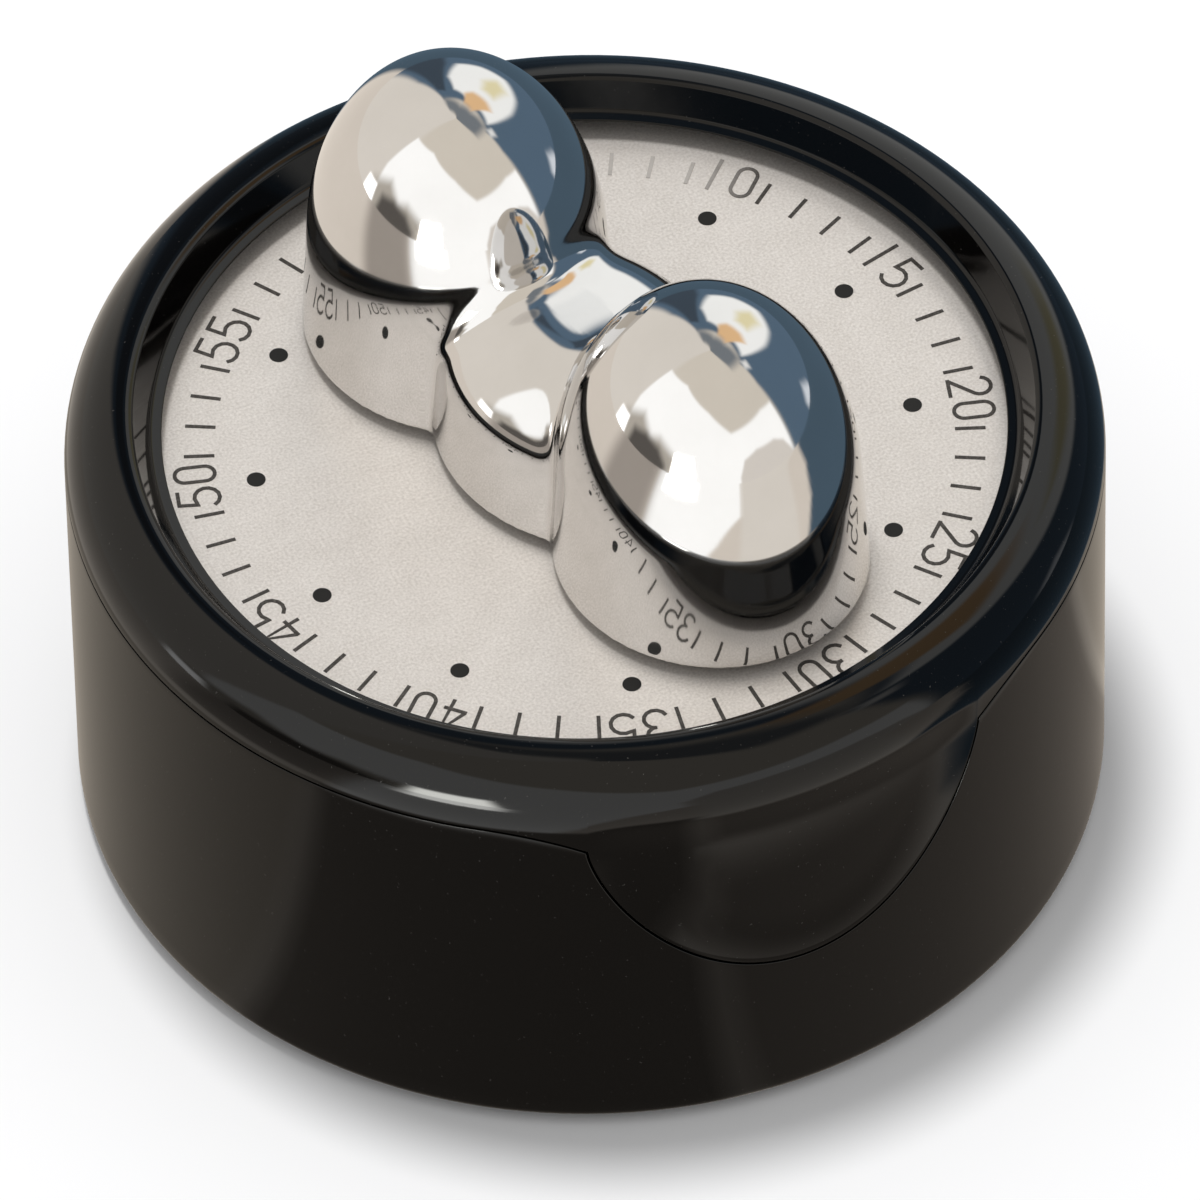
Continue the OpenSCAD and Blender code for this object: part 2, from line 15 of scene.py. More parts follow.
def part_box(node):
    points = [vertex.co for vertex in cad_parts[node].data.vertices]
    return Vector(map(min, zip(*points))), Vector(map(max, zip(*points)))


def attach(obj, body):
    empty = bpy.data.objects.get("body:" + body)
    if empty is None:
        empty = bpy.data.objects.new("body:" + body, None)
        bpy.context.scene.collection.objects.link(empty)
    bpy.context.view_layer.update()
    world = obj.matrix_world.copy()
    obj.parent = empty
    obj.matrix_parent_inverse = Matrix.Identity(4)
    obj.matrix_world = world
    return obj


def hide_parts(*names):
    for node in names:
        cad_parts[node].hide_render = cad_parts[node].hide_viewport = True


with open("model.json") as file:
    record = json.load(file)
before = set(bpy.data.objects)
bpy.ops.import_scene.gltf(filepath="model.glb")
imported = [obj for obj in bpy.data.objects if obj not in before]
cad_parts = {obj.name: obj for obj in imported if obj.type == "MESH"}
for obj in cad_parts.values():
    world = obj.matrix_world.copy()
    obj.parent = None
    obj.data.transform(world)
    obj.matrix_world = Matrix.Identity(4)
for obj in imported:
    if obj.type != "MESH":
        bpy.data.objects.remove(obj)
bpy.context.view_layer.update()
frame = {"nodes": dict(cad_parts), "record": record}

MM = 0.001


def mm(node, corner, axis):
    """One coordinate of a CAD node's box, in millimetres."""
    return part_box(node)[corner][axis] / MM


def dial_turn():
    """The angle of the knob's long axis from +Y, from the spread of its points."""
    points = np.array([v.co[:2] for v in frame["nodes"]["knob"].data.vertices])
    _, axes = np.linalg.eigh(np.cov((points - points.mean(0)).T))
    long_axis = axes[:, 1] * np.sign(axes[1, 1])
    return math.atan2(-long_axis[0], long_axis[1])


CASE_R = mm("housing", 1, 0)
CASE_BOTTOM = mm("housing", 0, 2)
DIAL_Z = mm("dial_plate", 1, 2)
RIM_Z = mm("bezel", 1, 2)
GAP = 0.15                        # clearance along the joint between bezel and housing
JOINT_Z = mm("housing", 1, 2) + GAP
TONGUE_Z = mm("bezel", 0, 2)
KNOB_TOP = mm("knob", 1, 2) - DIAL_Z
TURN = dial_turn()
WALL_IN = CASE_R - 2.4            # the wall is 2.4 thick
SCOOP_FRONT = math.radians(-90)   # azimuth of the scoop's middle
SCOOP_HALF = math.radians(24)     # from there to the scoop's corners
FLARE_HALF = math.radians(36)     # and to where the joint line runs level again
FLARE = 1.9                       # how far it dips to the corners
CORNER_Z = JOINT_Z - FLARE


# ------------------------------------------------------------------ camera and stage

def camera():
    """A long lens, looking down at the front left of the timer."""
    lens, distance, aim_right, aim_up = 614.0, 1571.4, 1.166, -12.106
    azimuth, elevation, roll = math.radians(-23.43), math.radians(47.39), math.radians(-1.19)
    back = Vector((math.sin(azimuth) * math.cos(elevation), -math.cos(azimuth) * math.cos(elevation),
                   math.sin(elevation)))
    right = Vector((math.cos(azimuth), math.sin(azimuth), 0))
    up = back.cross(right)
    x = math.cos(roll) * right + math.sin(roll) * up
    y = -math.sin(roll) * right + math.cos(roll) * up
    data = bpy.data.cameras.new("camera")
    data.lens, data.sensor_width = lens, 36.0
    data.clip_start, data.clip_end = 0.05, 20.0
    cam = bpy.data.objects.new("camera", data)
    place = x * aim_right + y * aim_up + back * distance + Vector((0, 0, DIAL_Z))
    cam.matrix_world = Matrix.Translation(place * MM) @ Matrix((x, y, back)).transposed().to_4x4()
    bpy.context.scene.collection.objects.link(cam)
    bpy.context.scene.camera = cam


def direction(azimuth, elevation):
    """The unit vector at an azimuth from +X and an elevation, in degrees."""
    a, e = math.radians(azimuth), math.radians(elevation)
    return Vector((math.cos(a) * math.cos(e), math.sin(a) * math.cos(e), math.sin(e)))


def stage_object(name, verts, faces, mat, seen_by):
    """A stage mesh, seen only by the named kinds of ray."""
    mesh = bpy.data.meshes.new(name)
    mesh.from_pydata([tuple(v) for v in verts], [], faces)
    mesh.materials.append(mat)
    obj = bpy.data.objects.new(name, mesh)
    bpy.context.scene.collection.objects.link(obj)
    for kind in ("camera", "diffuse", "glossy", "transmission", "shadow"):
        setattr(obj, "visible_" + kind, kind in seen_by)
    return obj


def glow(name):
    """A light source that takes its colour and strength from the mesh's own colour attribute."""
    mat = bpy.data.materials.new(name)
    mat.use_nodes = True
    mat.cycles.emission_sampling = "NONE"
    nodes, links = mat.node_tree.nodes, mat.node_tree.links
    nodes.clear()
    out = nodes.new("ShaderNodeOutputMaterial")
    emit = nodes.new("ShaderNodeEmission")
    tint = nodes.new("ShaderNodeAttribute")
    tint.attribute_name = "glow"
    links.new(tint.outputs["Color"], emit.inputs["Color"])
    links.new(emit.outputs[0], out.inputs["Surface"])
    return mat


def glowing_grid(name, points, colours):
    """A grid of points closed round its first axis, with a colour to each, seen only in reflections."""
    columns, rows = points.shape[:2]
    faces = grid_faces(columns, rows)
    obj = stage_object(name, points.reshape(-1, 3).tolist(), faces, glow(name), ("glossy",))
    tint = obj.data.attributes.new("glow", "FLOAT_COLOR", "POINT")
    tint.data.foreach_set("color", np.dstack([colours, np.ones((columns, rows))]).ravel())


def cover(across, up, corners, soft):
    """How far each point lies inside a polygon: 0 outside to 1 inside, over a soft edge."""
    corners = np.array(corners, float)
    far = np.full(across.shape, 1e9)
    inside = np.zeros(across.shape, bool)
    for a, b in zip(corners, np.roll(corners, -1, 0)):
        d = b - a
        x, y = across - a[0], up - a[1]
        t = np.clip((x * d[0] + y * d[1]) / (d @ d), 0, 1)
        far = np.minimum(far, np.hypot(x - t * d[0], y - t * d[1]))
        if a[1] != b[1]:
            crosses = (a[1] > up) != (b[1] > up)
            inside ^= crosses & (across < a[0] + (up - a[1]) * d[0] / d[1])
    t = np.clip(0.5 + np.where(inside, far, -far) / (2 * soft), 0, 1)
    return (t * t * (3 - 2 * t))[..., None]


WHITE, BEIGE, CEILING = (1.22, 1.22, 1.20), (0.76, 0.69, 0.61), (0.74, 0.68, 0.59)
BLUE, DARK = (0.10, 0.155, 0.22), (0.055, 0.075, 0.10)
ROOM_GAIN = 1.2
ROOM_AWAY = 3.2                   # metres

# What stands round the timer in reflections: corners as (azimuth, elevation), colour, softness in degrees.
# Later patches cover earlier ones. Both lists were drawn after the reflections in the reference
# photograph. With both empty, the timer reflects an even warm room and table.
CARDS = [
    ([(85, -5), (176, -5), (176, 95), (85, 95)], (0.80, 0.75, 0.68), 6),
    ([(172, 50), (205, 52), (240, 39), (262, 26), (300, 30), (314, 28), (316, -30), (168, -30), (166, 20)],
     WHITE, 1.5),
    ([(264, -40), (265, 2), (270, 10), (282, 13), (300, 12), (308, 8), (316, -4), (318, -40)],
     (0.78, 0.73, 0.67), 1.2),
    ([(160, -30), (162, 8), (178, 17), (190, 10), (198, 13), (210, 9), (222, 6), (230, -3), (222, -30)],
     (0.50, 0.46, 0.40), 4),
    ([(168, -30), (172, -3), (186, -1), (198, -6), (214, -4), (226, -8), (226, -30)],
     (0.10, 0.09, 0.08), 2.5),
    ([(172, -6), (175, 7), (186, 10), (199, 8), (206, 2), (206, -6)], (0.11, 0.10, 0.09), 3),
    ([(211, -6), (213, 9), (227, 10), (230, -6)], (18.0, 18.0, 17.0), 1.8),
    ([(157, -4), (158, 6), (167, 7), (168, -4)], (3.0, 3.0, 3.0), 1.8),
    ([(314, -30), (316, 42), (322, 60), (350, 66), (385, 70), (452, 66), (456, 30), (448, -30)], BLUE, 3),
    ([(300, 66), (330, 62), (360, 72), (410, 74), (450, 64), (460, 80), (400, 95), (290, 95)],
     (0.20, 0.22, 0.24), 6),
    ([(338, 60), (352, 46), (364, 33), (380, 20), (398, 9), (412, 9), (424, 13), (431, 36), (427, 55),
      (405, 62), (375, 64)], (1.05, 1.06, 1.04), 3),
    ([(362, 53), (378, 51), (400, 52), (410, 58), (402, 70), (370, 72)], (0.86, 0.56, 0.30), 4),
    ([(380, 42), (386, 24), (398, 18), (402, 30), (396, 42)], (0.88, 0.80, 0.50), 5),
    ([(428, -30), (430, 12), (436, 40), (440, 56), (450, 52), (449, 20), (446, -30)], DARK, 2),
    ([(343, -30), (345, 2), (352, 6), (358, 1), (358, -30)], (0.75, 0.80, 0.86), 3),
    ([(318, -30), (318, -8), (330, -6), (345, -9), (345, -30)], DARK, 2),
    ([(320, 55), (327, 60), (334, 56), (327, 51)], (0.90, 0.90, 0.88), 3),
]

# The table in reflections: sectors as (azimuth, millimetres from the middle), colour, softness.
TABLE = [
    # The four sectors out to 66-75 mm are painted shade: the case's own shadow on the table near its foot,
    # put into the table's glow.
    ([(80, 0), (200, 0), (200, 75), (80, 75)], (0.36, 0.32, 0.27), 4),
    ([(200, 0), (264, 0), (264, 75), (200, 75)], (0.17, 0.15, 0.13), 4),
    ([(264, 0), (345, 0), (345, 66), (264, 66)], (0.25, 0.22, 0.19), 4),
    ([(345, 0), (440, 0), (440, 66), (345, 66)], (0.42, 0.37, 0.31), 4),
    ([(204, 75), (241, 75), (250, 110), (264, 200), (264, 4000), (204, 4000)], WHITE, 2),
    ([(264, 68), (301, 68), (320, 4000), (264, 4000)], (0.80, 0.75, 0.68), 2),
    ([(301, 67), (308, 90), (314, 140), (318, 300), (320, 4000), (448, 4000), (448, 68)],
     (0.07, 0.11, 0.15), 2),
    ([(168, 92), (204, 92), (205, 4000), (168, 4000)], (0.38, 0.34, 0.30), 6),
    ([(212, 320), (230, 320), (230, 4000), (212, 4000)], (12.0, 12.0, 11.5), 3),
]


def wrapped_cover(azimuth, up, corners, soft):
    """cover() for azimuths, which also reaches corners given past 360."""
    return np.maximum(cover(azimuth, up, corners, soft), cover(azimuth + 360, up, corners, soft))


def surroundings():
    """What the chrome and the gloss black reflect: a warm room, white windows and a dim blue side."""
    azimuth, elevation = np.meshgrid(np.arange(0, 360, 0.75), np.linspace(-32, 90, 164), indexing="ij")
    colour = np.broadcast_to(np.array(CEILING), azimuth.shape + (3,))
    for corners, tint, soft in CARDS:
        part = wrapped_cover(azimuth, elevation, corners, soft)
        colour = colour + part * (np.array(tint) - colour)
    a, e = np.radians(azimuth), np.radians(elevation)
    points = np.stack([np.cos(a) * np.cos(e), np.sin(a) * np.cos(e), np.sin(e)], -1) * ROOM_AWAY
    glowing_grid("room", points + [0, 0, DIAL_Z * MM], colour * ROOM_GAIN)


def table_reflections():
    """The table in reflections: dim close to the case, where the case's shadow is painted in as shade,
    brighter beyond, in rings that widen outwards.
    """
    first_ring, widening = CASE_R * 0.85, 1.028
    spread = first_ring * widening ** np.arange(164)
    azimuth, away = np.meshgrid(np.arange(0, 360, 2.0), spread, indexing="ij")
    colour = np.broadcast_to(np.array(BEIGE), azimuth.shape + (3,))
    for corners, tint, soft in TABLE:
        part = wrapped_cover(azimuth, away, corners, soft)
        colour = colour + part * (np.array(tint) - colour)
    a = np.radians(azimuth)
    points = np.stack([np.cos(a) * away, np.sin(a) * away, np.full(away.shape, -1.0)], -1) * MM
    glowing_grid("table", points, colour * ROOM_GAIN)


def floor():
    """A wide pale floor, seen by everything but reflections."""
    mat = bpy.data.materials.new("floor")
    mat.use_nodes = True
    shader = mat.node_tree.nodes["Principled BSDF"]
    shader.inputs["Base Color"].default_value = (0.93, 0.93, 0.935, 1)
    shader.inputs["Roughness"].default_value = 0.9
    shader.inputs["Specular IOR Level"].default_value = 0.0
    sides, radius = 96, 6.0
    turns = [2 * math.pi * i / sides for i in range(sides)]
    ring = [(radius * math.cos(t), radius * math.sin(t), 0) for t in turns]
    stage_object("floor", ring, [tuple(range(sides))], mat, ("camera", "diffuse", "shadow", "transmission"))


def area_light(name, azimuth, elevation, away, size, power):
    """A soft lamp that points at the timer and doesn't show in reflections."""
    data = bpy.data.lights.new(name, "AREA")
    data.shape, data.size, data.energy = "DISK", size, power
    lamp = bpy.data.objects.new(name, data)
    towards = direction(azimuth, elevation)
    lamp.matrix_world = (Matrix.Translation(towards * away) @
                         towards.to_track_quat("Z", "Y").to_matrix().to_4x4())
    lamp.visible_glossy = False
    bpy.context.scene.collection.objects.link(lamp)


def lighting():
    """An even white sky, and one lamp nearly overhead that leaves a soft shadow in front."""
    world = bpy.data.worlds.new("sky")
    world.use_nodes = True
    sky = world.node_tree.nodes["Background"]
    sky.inputs["Color"].default_value = (1.0, 1.0, 1.0, 1)
    sky.inputs["Strength"].default_value = 0.62
    bpy.context.scene.world = world
    area_light("key", azimuth=99, elevation=81.5, away=1.6, size=0.32, power=14.0)
    bpy.context.scene.view_settings.view_transform = "Standard"


# ------------------------------------------------------------------ materials

class Shader:
    """A Principled material, and short ways to add textures in the object's own millimetres."""

    def __init__(self, name, colour, metallic=0.0, roughness=0.5, **sockets):
        self.mat = bpy.data.materials.new(name)
        self.mat.use_nodes = True
        self.nodes, self.links = self.mat.node_tree.nodes, self.mat.node_tree.links
        self.bsdf = self.nodes["Principled BSDF"]
        self.bsdf.inputs["Base Color"].default_value = (*colour, 1)
        self.bsdf.inputs["Metallic"].default_value = metallic
        self.bsdf.inputs["Roughness"].default_value = roughness
        for key, value in sockets.items():
            self.bsdf.inputs[key.replace("_", " ")].default_value = value
        self.place = self.nodes.new("ShaderNodeTexCoord")

    def scaled(self, scale):
        """Object coordinates times scale, which is per metre on each axis."""
        node = self.nodes.new("ShaderNodeMapping")
        node.inputs["Scale"].default_value = scale
        self.links.new(self.place.outputs["Object"], node.inputs["Vector"])
        return node.outputs[0]

    def noise(self, per_mm, detail=3.0, stretch=(1, 1, 1), rough=0.5):
        """Cloudy noise from 0 to 1, with so many features to the millimetre."""
        node = self.nodes.new("ShaderNodeTexNoise")
        node.inputs["Scale"].default_value = 1.0
        node.inputs["Detail"].default_value = detail
        node.inputs["Roughness"].default_value = rough
        k = per_mm / MM
        self.links.new(self.scaled([k * s for s in stretch]), node.inputs["Vector"])
        return node.outputs["Fac"]

    def distance(self, x, y):
        """How far a point lies from (x, y) millimetres on the dial, in metres."""
        node = self.nodes.new("ShaderNodeVectorMath")
        node.operation = "DISTANCE"
        self.links.new(self.place.outputs["Object"], node.inputs[0])
        node.inputs[1].default_value = (x * MM, y * MM, DIAL_Z * MM)
        return node.outputs["Value"]

    def ramp(self, value, low, high, out_low=0.0, out_high=1.0):
        """value from low to high, taken to out_low to out_high."""
        node = self.nodes.new("ShaderNodeMapRange")
        for key, v in (("From Min", low), ("From Max", high), ("To Min", out_low), ("To Max", out_high)):
            node.inputs[key].default_value = v
        self.links.new(value, node.inputs["Value"])
        return node.outputs["Result"]

    def maths(self, operation, a, b):
        """A sum or product; either side may be a number or another node's output."""
        node = self.nodes.new("ShaderNodeMath")
        node.operation = operation
        for socket, v in zip(node.inputs, (a, b)):
            if isinstance(v, (int, float)):
                socket.default_value = v
            else:
                self.links.new(v, socket)
        return node.outputs[0]

    def mix(self, factor, first, second):
        """Two colours mixed; either may be a plain colour or another node's output."""
        node = self.nodes.new("ShaderNodeMix")
        node.data_type = "RGBA"
        self.links.new(factor, node.inputs["Factor"])
        for socket, value in zip((node.inputs[6], node.inputs[7]), (first, second)):
            if isinstance(value, tuple):
                socket.default_value = (*value, 1)
            else:
                self.links.new(value, socket)
        return node.outputs[2]

    def set(self, socket, value):
        """Feeds a node's output to the material's own socket."""
        self.links.new(value, self.bsdf.inputs[socket])

    def bump(self, height, depth_mm, strength=1.0):
        """Relief from a height that runs from 0 to 1."""
        node = self.nodes.new("ShaderNodeBump")
        node.inputs["Strength"].default_value = strength
        node.inputs["Distance"].default_value = depth_mm * MM
        self.links.new(height, node.inputs["Height"])
        self.set("Normal", node.outputs[0])


def gloss_black(name):
    """Piano-black moulded plastic with a faint ripple, uneven polish and a little dust."""
    s = Shader(name, (0.0014, 0.0012, 0.0011), roughness=0.06, IOR=1.38)
    smear = s.noise(0.05, 4.0)
    dust = s.ramp(s.noise(4.0, 1.0), 0.74, 0.80)
    polish = s.ramp(smear, 0.35, 0.75, 0.045, 0.10)
    s.set("Roughness", s.maths("ADD", polish, s.maths("MULTIPLY", dust, 0.25)))
    s.set("Base Color", s.mix(dust, (0.0014, 0.0012, 0.0011), (0.03, 0.028, 0.026)))
    s.bump(s.noise(0.22, 2.0), 0.004)
    return s.mat


def chrome(name):
    """Bright plating over a moulding: nearly a mirror, with thin smears and a soft ripple."""
    s = Shader(name, (0.67, 0.66, 0.655), metallic=1.0, roughness=0.05)
    smear = s.noise(0.12, 5.0, rough=0.6)
    s.set("Roughness", s.ramp(smear, 0.35, 0.8, 0.03, 0.10))
    s.set("Base Color", s.mix(s.ramp(smear, 0.3, 0.8), (0.67, 0.66, 0.655), (0.62, 0.61, 0.60)))
    s.bump(s.noise(0.18, 1.0), 0.003)
    return s.mat


def dial_metal(name):
    """Satin silver sheet with a fine sparkle grain."""
    s = Shader(name, (0.68, 0.64, 0.60), metallic=0.35, roughness=0.42)
    grain = s.noise(4.5, 2.0)
    cloud = s.noise(0.35, 3.0)
    shade = s.maths("ADD", s.maths("MULTIPLY", grain, 0.8), s.maths("MULTIPLY", cloud, 0.2))
    s.set("Base Color", s.mix(s.ramp(shade, 0.32, 0.68), (0.62, 0.575, 0.53), (0.80, 0.755, 0.71)))
    s.set("Roughness", s.ramp(grain, 0.3, 0.7, 0.48, 0.36))
    s.bump(grain, 0.03, 0.5)
    return s.mat


def printed_ink(name):
    """Dull black print: solid in the dots, thinner in the strokes, and rubbed away on one side."""
    s = Shader(name, (0.03, 0.027, 0.025), roughness=0.6)
    fade_at = direction(math.degrees(TURN) + 52, 0) * 30
    from_fade = s.distance(fade_at.x, fade_at.y)
    patchy = s.ramp(s.noise(1.2), 0.2, 0.5, 0.7, 0.9)
    worn = s.maths("MULTIPLY", s.ramp(from_fade, 14 * MM, 8 * MM), patchy)
    stroke = s.ramp(s.distance(0, 0), 26.4 * MM, 26.6 * MM)
    thin = s.mix(s.ramp(s.noise(5.0, 2.0), 0.4, 0.75), (0.030, 0.026, 0.023), (0.085, 0.078, 0.070))
    ink = s.mix(stroke, (0.004, 0.004, 0.004), thin)
    s.set("Base Color", s.mix(s.maths("MULTIPLY", worn, stroke), ink, (0.46, 0.43, 0.40)))
    return s.mat


def moulded_black(name, tone=0.014):
    """Fine-textured black plastic."""
    s = Shader(name, (tone, tone, tone), roughness=0.5)
    texture = s.noise(5.0, 2.0)
    s.set("Base Color", s.mix(s.noise(0.08, 3.0), (tone, tone, tone), (tone * 1.7, tone * 1.65, tone * 1.6)))
    s.set("Roughness", s.ramp(texture, 0.3, 0.7, 0.42, 0.62))
    s.bump(texture, 0.03, 0.6)
    return s.mat


def rubber(name):
    """Dark matt rubber with a dusty bloom."""
    s = Shader(name, (0.022, 0.021, 0.020), roughness=0.8)
    bloom = s.ramp(s.noise(0.6, 4.0), 0.4, 0.7)
    s.set("Base Color", s.mix(bloom, (0.018, 0.017, 0.016), (0.05, 0.048, 0.045)))
    s.set("Roughness", s.ramp(s.noise(7.0, 2.0), 0.3, 0.7, 0.7, 0.92))
    s.bump(s.noise(7.0, 2.0), 0.03, 0.7)
    return s.mat


def worked_metal(name, bright, dull, lines=(30, 0.6, 30), rough=(0.18, 0.34)):
    """Turned or rolled metal: fine lines, and patches where the surface has dulled."""
    s = Shader(name, bright, metallic=1.0, roughness=sum(rough) / 2)
    line = s.noise(1.0, 2.0, stretch=lines)
    s.set("Base Color", s.mix(s.ramp(s.noise(0.25, 4.0), 0.4, 0.75), bright, dull))
    s.set("Roughness", s.ramp(line, 0.3, 0.7, *rough))
    s.bump(line, 0.006, 0.6)
    return s.mat


FINISHES = {
    "case_black": gloss_black("case_black"),
    "cover_black": moulded_black("cover_black"),
    "deck_black": moulded_black("deck_black", 0.02),
    "foot_rubber": rubber("foot_rubber"),
    "knob_chrome": chrome("knob_chrome"),
    "dial_metal": dial_metal("dial_metal"),
    "ink": printed_ink("ink"),
    "screw_steel": worked_metal("screw_steel", (0.56, 0.56, 0.57), (0.40, 0.40, 0.41)),
    "arbor_steel": worked_metal("arbor_steel", (0.50, 0.50, 0.51), (0.36, 0.36, 0.37), (20, 20, 0.8)),
    "spring_steel": worked_metal("spring_steel", (0.16, 0.20, 0.27), (0.26, 0.22, 0.20), (2, 2, 20)),
    "brass": worked_metal("brass", (0.80, 0.60, 0.28), (0.55, 0.40, 0.19), (0.7, 25, 25)),
    "bell_steel": worked_metal("bell_steel", (0.62, 0.60, 0.56), (0.48, 0.46, 0.43), (3, 3, 25),
                               (0.12, 0.26)),
}


def finish_cad_nodes():
    """Each CAD node takes the finish of its own material slot in the record."""
    slots = {part["node"]: part["material_slot"] for part in frame["record"]["subparts"]}
    for name, obj in frame["nodes"].items():
        finish = FINISHES[slots[name]]
        if not obj.material_slots:
            obj.data.materials.append(finish)
        for slot in obj.material_slots:
            slot.material = finish


# ------------------------------------------------------------------ mesh helpers

def piece(name, verts, faces, slot_name, body, stands_for, normals=None):
    """A smooth-shaded mesh in millimetres, made an object that rides on a body and replaces CAD nodes."""
    mesh = bpy.data.meshes.new(name)
    mesh.from_pydata((np.asarray(verts) * MM).tolist(), [], [tuple(int(i) for i in f) for f in faces])
    mesh.materials.append(FINISHES[slot_name])
    for polygon in mesh.polygons:
        polygon.use_smooth = True
    if normals is not None:
        mesh.normals_split_custom_set_from_vertices(np.asarray(normals).tolist())
    obj = bpy.data.objects.new(name, mesh)
    bpy.context.scene.collection.objects.link(obj)
    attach(obj, body)
    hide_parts(*stands_for)
    return obj


def weld(obj, distance=1e-7):
    """Merges points that coincide, and drops the faces that had no area."""
    shape = bmesh.new()
    shape.from_mesh(obj.data)
    bmesh.ops.remove_doubles(shape, verts=shape.verts, dist=distance)
    bmesh.ops.dissolve_degenerate(shape, edges=shape.edges, dist=distance)
    bmesh.ops.recalc_face_normals(shape, faces=shape.faces)
    shape.to_mesh(obj.data)
    shape.free()


def fillet(points, steps=6, hold=0.04):
    """A polyline whose corners (x, y, radius) are rounded, with a support point just outside each round."""
    out = []
    for i, (x, y, r) in enumerate(points):
        p = np.array([x, y])
        if i in (0, len(points) - 1) or r == 0:
            out.append(p)
            continue
        a, b = np.array(points[i - 1][:2]) - p, np.array(points[i + 1][:2]) - p
        a, b = a / np.linalg.norm(a), b / np.linalg.norm(b)
        half = math.acos(np.clip(a @ b, -1, 1)) / 2
        reach = r / math.tan(half)
        centre = p + (a + b) / np.linalg.norm(a + b) * r / math.sin(half)
        start, end = p + a * reach - centre, p + b * reach - centre
        sweep = math.pi - 2 * half
        out.append(p + a * (reach + hold))
        for k in range(steps + 1):
            t = k / steps
            out.append(centre + (math.sin((1 - t) * sweep) * start + math.sin(t * sweep) * end)
                       / math.sin(sweep))
        out.append(p + b * (reach + hold))
    return np.array(out)


def grid_faces(columns, rows, close_rows=False):
    """Quads over a grid that closes round its columns, numbered column by column."""
    faces = []
    last = rows if close_rows else rows - 1
    for i in range(columns):
        j = (i + 1) % columns
        for k in range(last):
            n = (k + 1) % rows
            faces.append((i * rows + k, j * rows + k, j * rows + n, i * rows + n))
    return faces


# ------------------------------------------------------------------ knob

LOBE_Y = 15.65                    # a lobe's centre from the dial's centre
LOBE_FOOT = (11.9, 12.6)          # its foot's half axes, across and along the knob
KNOB_FOOT = 0.9                   # the knob's lower edge above the dial
LOBE_SIDE_TOP = 11.5              # where the drafted side ends and the dome begins
LOBE_DRAFT = 0.6 / 10.6           # the side leans in by this much for each millimetre up
DOME_R, DOME_Z = 11.34, 10.07     # the dome's ellipse: half width and middle
HUB_R, HUB_OFF = 14.5, 3.3        # the hub's wall, and how far beyond the middle its axis lies
HUB_DRAFT = 0.0964
HUB_ROUND, HUB_ROUND_Z = 9.2, 5.6  # the hub's rounded top: radius and middle
HUB_FLAT = 5.2                    # how far from the wall's axis that top stays level


def soft_min(a, b, width):
    """The smaller of two values, with a smooth change from one to the other over width."""
    h = np.maximum(width - np.abs(a - b), 0) / width
    return np.minimum(a, b) - h ** 3 * width / 6


def soft_max(a, b, width):
    """The larger of two values, smoothed in the same way."""
    return -soft_min(-a, -b, width)


def lobe_distance(x, y, z):
    """Roughly the distance outside the lobe on the +Y side."""
    across = np.sqrt(x * x + ((y - LOBE_Y) * LOBE_FOOT[0] / LOBE_FOOT[1]) ** 2)
    side = (across - (LOBE_FOOT[0] - LOBE_DRAFT * (z - KNOB_FOOT))) / math.hypot(1, LOBE_DRAFT)
    height = KNOB_TOP - DOME_Z
    a, b = across / DOME_R, (z - DOME_Z) / height
    reach = np.sqrt(a * a + b * b)
    slope = np.sqrt((a / DOME_R) ** 2 + (b / height) ** 2) / np.maximum(reach, 1e-6)
    return np.where(z < LOBE_SIDE_TOP, side, (reach - 1) / np.maximum(slope, 1e-3))


def hub_distance(x, y, z):
    """Roughly the distance outside the hub: a drafted wall under a round top, about an axis beyond the
    middle on either side."""
    r = np.sqrt((np.abs(x) + HUB_OFF) ** 2 + y * y)
    wall = (r - HUB_R + HUB_DRAFT * (z - KNOB_FOOT)) / math.hypot(1, HUB_DRAFT)
    out = np.maximum(r - HUB_FLAT, 0)
    top = np.where(z > HUB_ROUND_Z, np.sqrt(out * out + (z - HUB_ROUND_Z) ** 2), out) - HUB_ROUND
    return soft_max(wall, top, 0.7)


def knob_distance(p):
    """The knob's surface is where this is nought; p is in the dial's millimetres."""
    x, y, z = p[..., 0], np.abs(p[..., 1]), p[..., 2]
    rise = np.clip((z - 6) / 8, 0, 1)
    width = 1.2 + 1.6 * rise * rise * (3 - 2 * rise)
    body = soft_max(soft_min(lobe_distance(x, y, z), hub_distance(x, y, z), width), KNOB_FOOT - z, 0.5)
    boss = np.maximum(np.sqrt(x * x + p[..., 1] ** 2) - 6, np.abs(z - 1) - 0.98)
    return np.minimum(body, boss)


def slope_of(distance, p, step=1e-3):
    """The gradient of a distance function at the points p."""
    out = np.empty_like(p)
    for axis in range(3):
        d = np.zeros(3)
        d[axis] = step
        out[..., axis] = (distance(p + d) - distance(p - d)) / (2 * step)
    return out


